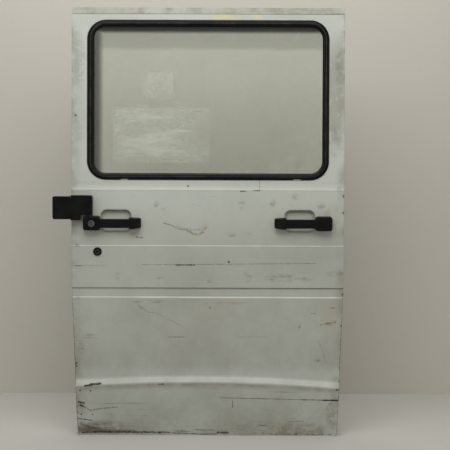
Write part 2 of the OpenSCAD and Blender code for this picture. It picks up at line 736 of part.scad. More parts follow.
low_arm_w = 60;
low_arm_x = hw - roller_inset;
low_arm_z = 70;
low_face_y = low(door_t, (low_arm_z - low_z)/cos(lean_low))[0];
low_end_y = low_face_y + low_reach;
low_guide_at = [low_arm_x - 14, low_end_y - 12, low_arm_z + arm_plate_t];
low_load_at = [low_arm_x + 8, low_end_y - load_w - 6, low_arm_z - load_r - 2];
module low_roller_bracket() color("#77786f") {
    lower() translate([low_arm_x - low_arm_w/2 - plate_edge, door_t + seat_gap,
        -(low_z - low_arm_z)/cos(lean_low) - 36]) cube([low_arm_w + 2*plate_edge, arm_plate_t, 80]);
    translate([low_arm_x - low_arm_w/2, low_face_y + 3, low_arm_z])
        cube([low_arm_w, low_reach - 3, arm_plate_t]);
    for (x = [low_arm_x - low_arm_w/2, low_arm_x + low_arm_w/2 - arm_plate_t])
        along_x(x, x + arm_plate_t) polygon([
        [low_face_y + 4, low_arm_z + 1], [low_face_y + low_reach*0.55, low_arm_z + 1],
            [low_face_y + 6, low_arm_z + 36]]);
    // Ear that carries the load roller's axle
    translate([low_load_at[0] - 10, low_load_at[1] - 5, low_load_at[2] - 8])
        cube([20, arm_plate_t, load_r + 10 + 1]);
    translate(low_load_at - [0, 4, 0]) rotate([-90, 0, 0]) cylinder(r = axle_r, h = load_w + 7);
    translate(low_guide_at) cylinder(r = axle_r, h = guide_h + 1);
}
module low_load_roller() color("#d9d7cc") translate(low_load_at) rotate([-90, 0, 0])
    ring(load_r, axle_r + axle_play, load_w, 1.5);
module low_guide_roller() color("#d9d7cc") translate(low_guide_at + [0, 0, seat_gap])
    ring(guide_r, axle_r + axle_play, guide_h, 1);

// Latches behind the upright edges, each with a mouth that opens to the edge and the inner side
cheek_t = 4;
fork_t = 8;
fork_r = 0.19*latch_h;
latch_w = 2*cheek_t + fork_t + 2;
latch_x0 = tray_half - frame_t - seat_gap - latch_w;
latch_depth = 42;
fork_drop = latch_h/6;
latch_back = latch_h*2/15;
module latch_mouth(z, x0, x1) {
    translate([x0, in_y - mouth_d + mouth_w/2, z - mouth_w/2]) cube([x1 - x0, mouth_d, mouth_w]);
    translate([x0, in_y - mouth_d + mouth_w/2, z]) rotate([0, 90, 0])
        cylinder(r = mouth_w/2, h = x1 - x0);
}
module latch_cut(s, z) mirror([s > 0 ? 0 : 1, 0, 0]) latch_mouth(z, latch_x0 - 2, hw + over);
module latch(s, z) mirror([s > 0 ? 0 : 1, 0, 0]) difference() {
    y1 = in_y - frame_t - seat_gap;
    for (x = [latch_x0, latch_x0 + latch_w - cheek_t]) translate([x, y1 - latch_depth, z - latch_h/2])
        cube([cheek_t, latch_depth, latch_h]);
    latch_mouth(z, latch_x0 - over, hw);
}
module latch_body(s, z) {
    latch(s, z);
    // Spacers that join the two cheeks above and below the fork
    mirror([s > 0 ? 0 : 1, 0, 0]) for (zz = [z - latch_h/2, z + latch_h/2 - latch_back])
        translate([latch_x0 + 1, in_y - frame_t - seat_gap - latch_depth, zz])
            cube([latch_w - 2, latch_depth, latch_back]);
    mirror([s > 0 ? 0 : 1, 0, 0]) translate([latch_x0 + 1, fork_y, z - fork_drop]) rotate([0, 90, 0])
        cylinder(r = axle_r, h = latch_w - 2);
}
fork_y = in_y - mouth_d - 4;
module latch_fork(s, z) mirror([s > 0 ? 0 : 1, 0, 0]) difference() {
    translate([latch_x0 + cheek_t + 1, fork_y, z - fork_drop]) rotate([0, 90, 0])
        cylinder(r = fork_r, h = fork_t);
    translate([0, fork_y, z - fork_drop]) rotate([0, 90, 0]) cylinder(r = axle_r + axle_play, h = hw);
    translate([0, fork_y, z - fork_drop]) rotate([-35, 0, 0]) translate([0, -5, 7])
        cube([hw, 10, fork_r]);
}
module front_latch() color("#7a7b76") latch_body(1, front_latch_z);
module rear_latch() color("#7a7b76") latch_body(-1, rear_latch_z);
module front_latch_fork() color("#55564f") latch_fork(1, front_latch_z);
module rear_latch_fork() color("#55564f") latch_fork(-1, rear_latch_z);

// Rubber strips round the inner face
strip_w = 12;
strip_in = 50;
strip_foot = 22;
module edge_rubber() along_x(hw - strip_in, hw - strip_in + strip_w) polygon(concat(
    [up(door_t + seat_gap, skin_top + 4)], inner_side(seat_gap), back(inner_side(strip_t)),
        [up(door_t + strip_t, skin_top + 4)]));
function inner_side(g) = [up(door_t + g, 0), [in_y + g, sill_z - shoulder_h], [in_y + g, low_z],
    low(door_t + g, bottom_z + strip_foot)];
module front_edge_rubber() color("#202020") edge_rubber();
module rear_edge_rubber() color("#202020") mirror([1, 0, 0]) edge_rubber();
module bottom_rubber() color("#202020") lower()
    translate([-(hw - strip_in - seat_gap), door_t + seat_gap, bottom_z + strip_foot])
        cube([2*(hw - strip_in - seat_gap), strip_t - seat_gap, 8]);

// Trim board over the sill part's inner face, held by clips
board_top = -50;
board_low = 125 - low_z;
board_w = 2*(hw - board_m);
clip_r = 9;
clip_n = 5;
module inner_plane(x, z) translate([x, door_t, z]) rotate([90, 0, 180]) children();
module trim_board() color("#5f5a50") lower() inner_plane(0, (board_top + board_low)/2)
    translate([0, 0, seat_gap])
    linear_extrude(board_t) rounded(board_w, board_top - board_low, 20);
module trim_clips() color("#3a3a38") lower()
    for (i = [0 : clip_n - 1], z = [board_low + 18, board_top - 18])
    inner_plane((i/(clip_n - 1) - 0.5)*(board_w - 60), z) translate([0, 0, board_t + 2*seat_gap])
        cylinder(r1 = clip_r, r2 = clip_r - 2, h = 2.5);

// Release lever on its plate, above the trim board
release_in = 170;
release_x = hw - release_in;
release_z = 898;
release_w = 130;
release_h = 60;
release_t = 8;
pivot_x = 42;
pivot_r = 7;
lever_l = 98;
lever_w = 22;
module on_inner(x, z) translate([x, in_y + seat_gap, z]) rotate([90, 0, 180]) children();
module release_plate() color("#2a2a2a") on_inner(release_x, release_z) {
    soft_plate(release_w, release_h, 12, release_t, 2);
    translate([pivot_x, 0, 0]) cylinder(r = pivot_r, h = 2*release_t);
}
module release_lever() color("#333333") on_inner(release_x, release_z) difference() {
    translate([0, 0, release_t + seat_gap]) {
        translate([pivot_x, 0, 0]) cylinder(r = 2*pivot_r, h = 9);
        translate([pivot_x - lever_l, -lever_w/2, 0]) cube([lever_l, lever_w, 6]);
        translate([pivot_x - lever_l, 0, 0]) cylinder(r = lever_w/2, h = 12);
    }
    translate([pivot_x, 0, 0]) cylinder(r = pivot_r + axle_play, h = 40);
}

outer_skin();
inner_panel();
edge_channel();
latch_plates();
window_frame();
top_strip();
window_glass();
window_seal();
seal_bead();
rear_handle();
rear_handle_pads();
push_button();
key_cylinder();
front_handle();
front_handle_pads();
lock_bezel();
lock_plug();
hinge_cover();
hinge_bracket();
hinge_pin();
hinge_arm();
arm_cover();
arm_load_roller();
arm_guide_roller();
top_roller_bracket();
top_roller();
low_roller_bracket();
low_load_roller();
low_guide_roller();
front_latch();
front_latch_fork();
rear_latch();
rear_latch_fork();
front_edge_rubber();
rear_edge_rubber();
bottom_rubber();
trim_board();
trim_clips();
release_plate();
release_lever();
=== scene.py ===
import math

import bmesh
import bpy
from mathutils import Matrix, Vector


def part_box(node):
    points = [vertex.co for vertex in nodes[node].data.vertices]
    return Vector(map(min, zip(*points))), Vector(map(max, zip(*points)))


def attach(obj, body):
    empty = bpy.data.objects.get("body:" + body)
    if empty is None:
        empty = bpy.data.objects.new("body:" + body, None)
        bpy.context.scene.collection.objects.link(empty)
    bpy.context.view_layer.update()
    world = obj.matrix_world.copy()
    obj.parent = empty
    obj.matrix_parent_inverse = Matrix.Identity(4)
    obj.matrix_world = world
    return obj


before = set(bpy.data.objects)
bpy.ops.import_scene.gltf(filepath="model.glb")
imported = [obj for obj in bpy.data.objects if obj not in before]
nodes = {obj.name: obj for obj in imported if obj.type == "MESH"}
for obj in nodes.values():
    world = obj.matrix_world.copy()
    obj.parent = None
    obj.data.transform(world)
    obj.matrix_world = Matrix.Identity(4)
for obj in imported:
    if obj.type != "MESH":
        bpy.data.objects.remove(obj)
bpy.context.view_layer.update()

# floor and backdrop
# The door stands on its bottom hem on a plain painted floor, three quarters of a metre
# in front of a plain wall. Neither is part of the door. The wall is only there from its
# front, so that the door's back can be seen past it.


class Value:
    """A number that changes over a surface, kept as the socket that carries it."""

    def __init__(self, finish, socket):
        self.finish, self.socket = finish, socket

    def maths(self, kind, *inputs):
        return self.finish.node("ShaderNodeMath", {"operation": kind}, inputs)

    def __add__(self, other):
        return self.maths("ADD", self, other)

    def __sub__(self, other):
        return self.maths("SUBTRACT", self, other)

    def __rsub__(self, other):
        return self.maths("SUBTRACT", other, self)

    def __mul__(self, other):
        return self.maths("MULTIPLY", self, other)

    def __truediv__(self, other):
        return self.maths("DIVIDE", self, other)

    def __abs__(self):
        return self.maths("ABSOLUTE", self)

    __radd__ = __add__

    def least(self, other):
        return self.maths("MINIMUM", self, other)

    def most(self, other):
        return self.maths("MAXIMUM", self, other)

    def held(self):
        return self.most(0.0).least(1.0)


class Finish:
    """One material: its nodes, the surface shader and the place on the object."""

    def __init__(self, name, rough=0.5, metal=0.0, colour=(0.5, 0.5, 0.5), **constants):
        self.material = bpy.data.materials.new(name)
        self.material.use_nodes = True
        self.tree = self.material.node_tree
        self.shader = self.tree.nodes["Principled BSDF"]
        self.plain = Value(self, self.shader.outputs[0])
        self.shader.inputs["Roughness"].default_value = rough
        self.shader.inputs["Metallic"].default_value = metal
        self.shader.inputs["Base Color"].default_value = (*colour, 1.0)
        for socket, number in constants.items():
            self.shader.inputs[socket.replace("_", " ")].default_value = number
        self.place = self.node("ShaderNodeTexCoord", {}, (), "Object")
        split = self.node("ShaderNodeSeparateXYZ", {}, (self.place,))
        outs = split.socket.node.outputs
        self.x, self.y, self.z = (Value(self, outs[i]) for i in range(3))

    def node(self, kind, settings, inputs, out=0):
        made = self.tree.nodes.new(kind)
        for name, setting in settings.items():
            setattr(made, name, setting)
        pairs = inputs.items() if isinstance(inputs, dict) else enumerate(inputs)
        for socket, given in pairs:
            if isinstance(given, Value):
                self.tree.links.new(given.socket, made.inputs[socket])
            else:
                made.inputs[socket].default_value = given
        return Value(self, made.outputs[out])

    def feed(self, socket, value):
        self.tree.links.new(value.socket, self.shader.inputs[socket])

    def surface(self, value):
        """Put another shader in the plain one's place."""
        output = self.tree.nodes["Material Output"]
        self.tree.links.new(value.socket, output.inputs["Surface"])

    def noise(self, scale, detail=3.0, rough=0.55, stretch=None, seed=0.0):
        place = self.place
        if stretch or seed:
            place = self.node("ShaderNodeMapping", {}, {
                "Vector": place, "Scale": stretch or (1, 1, 1),
                "Location": (seed, seed * 0.7, seed * 0.4)})
        return self.node("ShaderNodeTexNoise", {}, {
            "Vector": place, "Scale": scale, "Detail": detail, "Roughness": rough})

    def ramp(self, value, start, end, low=0.0, high=1.0):
        return self.node("ShaderNodeMapRange", {"interpolation_type": "SMOOTHSTEP"}, {
            "Value": value, "From Min": start, "From Max": end, "To Min": low, "To Max": high})

    def blend(self, below, above, amount):
        inputs = {0: amount}
        for socket, colour in ((6, below), (7, above)):
            inputs[socket] = colour if isinstance(colour, Value) else (*colour, 1.0)
        return self.node("ShaderNodeMix", {"data_type": "RGBA"}, inputs, 2)

    def bump(self, *layers):
        normal = None
        for height, depth in layers:
            inputs = {"Height": height, "Distance": depth, "Strength": 1.0}
            if normal:
                inputs["Normal"] = normal
            normal = self.node("ShaderNodeBump", {}, inputs)
        self.feed("Normal", normal)

    def coat_node(self, *names):
        for name in names:
            slots = nodes[name].data.materials
            for index in range(len(slots)):
                slots[index] = self.material
        return self


def new_piece(name, mesh, finish, body, smooth=40):
    """Turn a bmesh into a named piece that rides on a body."""
    data = bpy.data.meshes.new(name)
    mesh.to_mesh(data)
    mesh.free()
    data.materials.append(finish.material)
    data.shade_smooth()
    data.set_sharp_from_angle(angle=math.radians(smooth))
    piece = bpy.data.objects.new(name, data)
    bpy.context.scene.collection.objects.link(piece)
    if body:
        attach(piece, body)
    return piece


WALL_Y = 0.78
FLOOR_HALF = 4.5

studio = Finish("studio_floor", rough=0.75)
cloudy = studio.noise(1.3, 4, 0.6)
studio.feed("Base Color", studio.blend((0.50, 0.488, 0.45), (0.535, 0.523, 0.485), cloudy))
studio.feed("Roughness", studio.ramp(cloudy, 0.3, 0.7, 0.7, 0.82))
wall_paint = Finish("studio_wall", rough=0.8)
cloudy = wall_paint.noise(0.9, 3, 0.5)
wall_paint.feed("Base Color", wall_paint.blend((0.56, 0.535, 0.475), (0.59, 0.565, 0.505), cloudy))
wall_back = wall_paint.node("ShaderNodeNewGeometry", {}, (), "Backfacing")
clear = wall_paint.node("ShaderNodeBsdfTransparent", {}, ())
wall_paint.surface(wall_paint.node("ShaderNodeMixShader", {}, (wall_back, wall_paint.plain, clear)))

floor = bmesh.new()
bmesh.ops.create_grid(floor, x_segments=1, y_segments=1, size=2 * FLOOR_HALF)
new_piece("floor", floor, studio, None)
wall = bmesh.new()
bmesh.ops.create_grid(wall, x_segments=1, y_segments=1, size=FLOOR_HALF,
                      matrix=(Matrix.Translation((0, WALL_Y, FLOOR_HALF))
                              @ Matrix.Rotation(math.pi / 2, 4, "X")))
new_piece("wall", wall, wall_paint, None)

# outer panel
# Pressed steel sheet in old white paint: chalky and greyish green, with scuffs, brown dirt
# towards its edges and rust where the paint has gone. Folded round the inner pressing.
HALF_W = 0.557
KNEE_Z = 0.608
FOOT_IN = 0.017
BELT_Z = 1.0265
STEP_Z = 0.7975
CHANNEL_TOP = 0.6255
CHANNEL_FOOT = 0.5865
LEDGE_X = -0.045
LEDGE_FOOT = 0.228
LEDGE_R = 7.0
RECESS_X = 0.375
RECESS_Z = 0.901

CHALK = (0.470, 0.490, 0.440)
CHALK_DARK = (0.415, 0.435, 0.385)
GRIME = (0.200, 0.182, 0.140)
BLACKENED = (0.010, 0.008, 0.004)
RUST = (0.105, 0.058, 0.030)
YELLOWED = (0.56, 0.50, 0.27)
TAN = (0.40, 0.345, 0.26)
SCUFF = (0.13, 0.125, 0.105)
DULL = (0.24, 0.225, 0.18)
EARTH = (0.2, 0.16, 0.11)
# pale paint for the painted highlights along the step and the channel's lower edge
PAINTED_HIGHLIGHT = (0.62, 0.64, 0.59)


class Paint(Finish):
    """The panel's paint, with marks drawn by their places on the panel in metres."""

    def __init__(self, name, light, dark):
        super().__init__(name, rough=0.42)
        self.flat = self.node("ShaderNodeVectorMath", {"operation": "MULTIPLY"},
                              (self.place, (1.0, 0.0, 1.0)))
        self.wobble = self.noise(55, 3, 0.6)
        self.fray = self.noise(170, 4, 0.7)
        self.colour = self.blend(dark, light, self.ramp(self.noise(2.1, 6, 0.62), 0.35, 0.66))

    def add(self, colour, amount):
        self.colour = self.blend(self.colour, colour, amount)

    def far(self, start, end):
        """Distance from the line between two places."""
        a = Vector((start[0], 0.0, start[1]))
        run = Vector((end[0], 0.0, end[1])) - a
        away = self.node("ShaderNodeVectorMath", {"operation": "SUBTRACT"}, (self.flat, tuple(a)))
        along = self.node("ShaderNodeVectorMath", {"operation": "DOT_PRODUCT"},
                          (away, tuple(run / run.length_squared)), "Value").held()
        nearest = self.node("ShaderNodeVectorMath", {"operation": "SCALE"},
                            {0: tuple(run), "Scale": along})
        off = self.node("ShaderNodeVectorMath", {"operation": "SUBTRACT"}, (away, nearest))
        return self.node("ShaderNodeVectorMath", {"operation": "LENGTH"}, (off,), "Value")

    def stroke(self, places, width, broken):
        """A scratch through the places, broken up where the paint held."""
        near = None
        for start, end in zip(places, places[1:]):
            gap = self.far(start, end)
            near = gap if near is None else near.least(gap)
        ragged = near + (self.wobble - 0.5) * width * 1.6
        line = self.ramp(ragged, width, width * 0.35)
        return line * self.ramp(self.fray, broken, broken + 0.12)

    def patch(self, x, z, half_x, half_z, low, seed):
        """A soft-edged cloudy patch, which a higher low level makes thinner."""
        spread = self.length_of(abs(self.x - x) / half_x, abs(self.z - z) / half_z)
        cloud = self.noise(24.0, 5, 0.65, seed=seed + x)
        return self.ramp(spread, 1.0, 0.35) * self.ramp(cloud, low, low + 0.15)

    def spots(self, places):
        """Soft ellipses, each given by its middle and its half width and height."""
        near = None
        for x, z, half_x, half_z in places:
            gap = self.length_of((self.x - x) / half_x, (self.z - z) / half_z)
            near = gap if near is None else near.least(gap)
        return self.ramp(near + (self.wobble - 0.5) * 0.9, 1.1, 0.35)

    def length_of(self, a, b):
        """How long the step (a, b) is."""
        squares = a * a + b * b
        return squares.maths("SQRT", squares)

    def edge_distance(self):
        """How far a place is from the door's upright edge, which draws in towards the foot."""
        drawn = (KNEE_Z - self.z).most(0.0) * (FOOT_IN / KNEE_Z)
        return HALF_W - drawn - abs(self.x)


paint = Paint("van_paint", CHALK, CHALK_DARK)
edge = paint.edge_distance()
cloud = paint.noise(9, 7, 0.66)
veil = paint.noise(4.2, 8, 0.7, seed=3.0)
# thin veil of road dirt, thicker towards the sill
paint.add(GRIME, paint.ramp(paint.z, 0.9, 0.0, 0.03, 0.30) * paint.ramp(veil, 0.36, 0.72))
# the panel from just above the ledge up to the step, fading out below the belt, is darker still:
# painted shade for light that falls off down the panel, mottled like the dirt
paint.add(GRIME, paint.ramp(paint.z, 1.0, 0.74) * paint.ramp(paint.z, 0.262, 0.31)
          * paint.ramp(veil, 0.3, 0.7, 0.19, 0.32))
# more road dirt low on the sill
paint.add(GRIME, paint.ramp(paint.z, 0.225, 0.02, 0.0, 0.42) * paint.ramp(cloud, 0.34, 0.66))
# fine wiped lines on the sill
grazed = paint.noise(90, 5, 0.75, stretch=(0.05, 1.0, 1.0), seed=6.6)
paint.add((0.12, 0.10, 0.075),
          paint.ramp(grazed, 0.58, 0.70) * paint.ramp(paint.z, 0.235, 0.20) * 0.42)
# rain and wipe marks
runs = paint.noise(17, 7, 0.72, stretch=(1.0, 1.0, 0.09))
paint.add(GRIME, paint.ramp(runs, 0.54, 0.74) * paint.ramp(veil, 0.4, 0.6) * 0.16)
wiped = paint.noise(14, 6, 0.7, stretch=(0.07, 1.0, 1.6), seed=1.7)
paint.add(SCUFF, paint.ramp(wiped, 0.60, 0.78) * paint.ramp(cloud, 0.45, 0.6) * 0.30)
rubs = paint.noise(34, 7, 0.8, stretch=(0.6, 1.0, 0.8), seed=7.7)
paint.add(SCUFF, paint.ramp(rubs, 0.58, 0.74) * paint.ramp(veil, 0.40, 0.62) * 0.26)
# fine scuffs and specks
scuffs = paint.noise(60, 6, 0.75, stretch=(0.12, 1.0, 1.0), seed=5.1)
paint.add(SCUFF, paint.ramp(scuffs, 0.66, 0.74) * paint.ramp(veil, 0.42, 0.6) * 0.55)
specks = paint.noise(230, 2, 0.5, seed=2.3)
paint.add(SCUFF, paint.ramp(specks, 0.745, 0.79) * 0.8)

# dark lines in the creases and on the ledge's underside. The photo can't tell dirt from shade
# there, so part of this may be shade that is painted on.
for height, width, amount in (
        (BELT_Z, 0.004, 0.25), (STEP_Z, 0.0035, 0.35), (CHANNEL_TOP, 0.0032, 0.85)):
    paint.add(GRIME, paint.ramp(abs(paint.z - height), width, width * 0.3) * amount
              * paint.ramp(cloud, 0.25, 0.55, 0.5, 1.0))
# the band under the ledge's lip, following its curve, is painted shade under the ledge
off_peak = paint.x - LEDGE_X
lip = LEDGE_FOOT - off_peak * off_peak / (2 * LEDGE_R)
below = lip - paint.z
paint.add((0.19, 0.165, 0.125), paint.ramp(below, -0.004, 0.003) * paint.ramp(below, 0.030, 0.004)
          * paint.ramp(cloud, 0.32, 0.66, 0.15, 0.6))

# pale lines on the step and on the channel's lower edge. In the photo they are most likely light
# caught by those edges. Painted on, they stay put under other light.
for height, width, amount in ((STEP_Z + 0.002, 0.0022, 0.6), (CHANNEL_FOOT, 0.0040, 0.75)):
    paint.add(PAINTED_HIGHLIGHT, paint.ramp(abs(paint.z - height), width, width * 0.3) * amount
              * paint.ramp(cloud, 0.3, 0.6, 0.45, 1.0))

# dark rims of the two finger recesses, strongest along their upper edge: painted shade of the
# recesses, with some dirt
for side in (-1, 1):
    across = (abs(paint.x - side * RECESS_X) - 0.037).most(0.0)
    up = (abs(paint.z - RECESS_Z) - 0.021).most(0.0)
    rim = abs(paint.length_of(across, up) - 0.0225)
    upper_shade = paint.ramp(paint.z, RECESS_Z - 0.01, RECESS_Z + 0.04, 0.35, 1.0)
    paint.add((0.13, 0.108, 0.072), paint.ramp(rim, 0.0075, 0.0005) * upper_shade
              * paint.ramp(cloud, 0.3, 0.6, 0.45, 0.9))

# dirt towards the upright edges, and a thin dark line along them that is stronger towards the foot
paint.add(GRIME, paint.ramp(edge, 0.045, 0.0) * paint.ramp(cloud, 0.40, 0.62) * 0.55)
paint.add(BLACKENED, paint.ramp(edge + (paint.wobble - 0.5) * 0.012, 0.004, 0.0005)
          * paint.ramp(paint.z, 0.75, 0.3, 0.25, 0.9) * paint.ramp(paint.fray, 0.4, 0.52))

# patches: yellowed smudges at the top, tan smears, dull dirt beside the window, rust at the foot
for x, z, half_x, half_z, colour, amount, low, seed in (
        (0.085, 1.733, 0.075, 0.020, YELLOWED, 0.72, 0.34, 0.4),
        (0.035, 1.728, 0.03, 0.016, YELLOWED, 0.7, 0.30, 0.2),
        (0.198, 1.736, 0.030, 0.017, YELLOWED, 0.75, 0.32, 0.9),
        (0.505, 0.515, 0.055, 0.085, TAN, 0.50, 0.38, 1.3),
        (0.481, 0.943, 0.028, 0.045, TAN, 0.60, 0.42, 2.2),
        (0.525, 0.908, 0.03, 0.08, TAN, 0.45, 0.42, 2.8),
        (0.09, 0.565, 0.11, 0.018, TAN, 0.40, 0.40, 3.1),
        (0.02, 0.518, 0.10, 0.05, TAN, 0.30, 0.45, 5.0),
        (-0.10, 0.448, 0.05, 0.05, TAN, 0.30, 0.45, 5.6),
        (-0.525, 1.55, 0.035, 0.14, SCUFF, 0.30, 0.42, 7.3),
        (-0.53, 1.30, 0.03, 0.14, SCUFF, 0.20, 0.45, 7.5),
        (0.518, 1.43, 0.055, 0.30, DULL, 0.62, 0.30, 7.9),
        (0.535, 1.53, 0.03, 0.10, SCUFF, 0.42, 0.42, 8.1),
        (0.515, 1.24, 0.04, 0.10, SCUFF, 0.36, 0.44, 8.2),
        (-0.44, 0.035, 0.16, 0.040, (0.15, 0.125, 0.085), 0.55, 0.34, 6.6),
        (-0.42, 0.017, 0.16, 0.012, RUST, 0.6, 0.38, 6.2),
        (0.38, 0.030, 0.17, 0.035, EARTH, 0.55, 0.42, 8.4),
        (0.52, 0.11, 0.04, 0.12, EARTH, 0.45, 0.40, 9.3),
        (-0.54, 0.11, 0.05, 0.12, EARTH, 0.50, 0.40, 9.5),
        (-0.30, 1.761, 0.3, 0.02, SCUFF, 0.3, 0.45, 9.7)):
    paint.add(colour, paint.patch(x, z, half_x, half_z, low, seed) * amount)

# rust and dirt lie in fine flat streaks along the foot
streaks = paint.noise(60, 7, 0.8, stretch=(0.16, 1.0, 1.0), seed=3.7)
foot_end = paint.spots(((-0.480, 0.032, 0.095, 0.030), (-0.39, 0.016, 0.19, 0.010)))
paint.add((0.055, 0.038, 0.020), foot_end * paint.ramp(streaks, 0.46, 0.58) * 0.68)
foot_run = paint.spots((
    (0.20, 0.050, 0.09, 0.016), (0.30, 0.022, 0.24, 0.016), (0.02, 0.020, 0.24, 0.012)))
paint.add((0.085, 0.062, 0.038), foot_run * paint.ramp(streaks, 0.50, 0.60) * 0.75)

# small rubbed spots, grey on the flat panel and tan below the channel
GREY_SPOTS = (
    (-0.210, 0.971, 0.013, 0.020), (-0.182, 0.951, 0.016, 0.012), (-0.289, 0.835, 0.030, 0.010),
    (-0.307, 0.846, 0.014, 0.010), (-0.369, 0.673, 0.012, 0.024), (-0.197, 0.669, 0.024, 0.009),
    (0.008, 0.654, 0.015, 0.011), (0.136, 0.970, 0.020, 0.024), (0.264, 0.976, 0.015, 0.020),
    (0.358, 1.004, 0.018, 0.020), (0.463, 0.966, 0.022, 0.018), (0.173, 0.852, 0.018, 0.011),
    (0.097, 0.846, 0.026, 0.012), (0.163, 0.670, 0.022, 0.024), (0.302, 0.670, 0.088, 0.021),
    (0.402, 0.664, 0.032, 0.011), (0.525, 0.686, 0.050, 0.014), (0.378, 0.473, 0.012, 0.012),
    (0.514, 0.544, 0.013, 0.007), (-0.218, 0.570, 0.048, 0.008), (-0.532, 0.801, 0.013, 0.010),
    (-0.533, 0.585, 0.013, 0.010), (0.495, 0.478, 0.030, 0.009), (0.537, 1.030, 0.014, 0.020))
TAN_SPOTS = (
    (-0.011, 0.875, 0.020, 0.022), (-0.306, 0.481, 0.013, 0.013), (-0.162, 0.484, 0.015, 0.010),
    (-0.197, 0.638, 0.022, 0.013), (-0.300, 0.845, 0.030, 0.013), (0.344, 0.955, 0.020, 0.016))
DARK_SPOTS = (
    (0.3770, 0.4650, 0.007, 0.011), (0.4531, 0.3232, 0.014, 0.007), (0.5135, 0.5441, 0.011, 0.006),
    (0.0105, 0.5450, 0.006, 0.010), (-0.2725, 0.5455, 0.008, 0.005), (0.496, 0.480, 0.010, 0.006),
    (-0.2720, 0.8320, 0.008, 0.005), (-0.005, 0.560, 0.010, 0.004))
rubbed = paint.ramp(paint.noise(70, 6, 0.78, stretch=(0.35, 1.0, 1.0), seed=9.0), 0.40, 0.62)
paint.add(SCUFF, paint.spots(GREY_SPOTS) * rubbed * 0.46)
paint.add(TAN, paint.spots(TAN_SPOTS) * rubbed * 0.6)
paint.add((0.06, 0.057, 0.045), paint.spots(DARK_SPOTS) * paint.ramp(paint.fray, 0.38, 0.60) * 0.62)
paint.add(GRIME, paint.spots((
    (-0.490, 0.428, 0.040, 0.008), (-0.520, 0.375, 0.016, 0.040),
    (0.085, 0.563, 0.075, 0.007), (-0.290, 0.567, 0.035, 0.006))) * rubbed * 0.6)

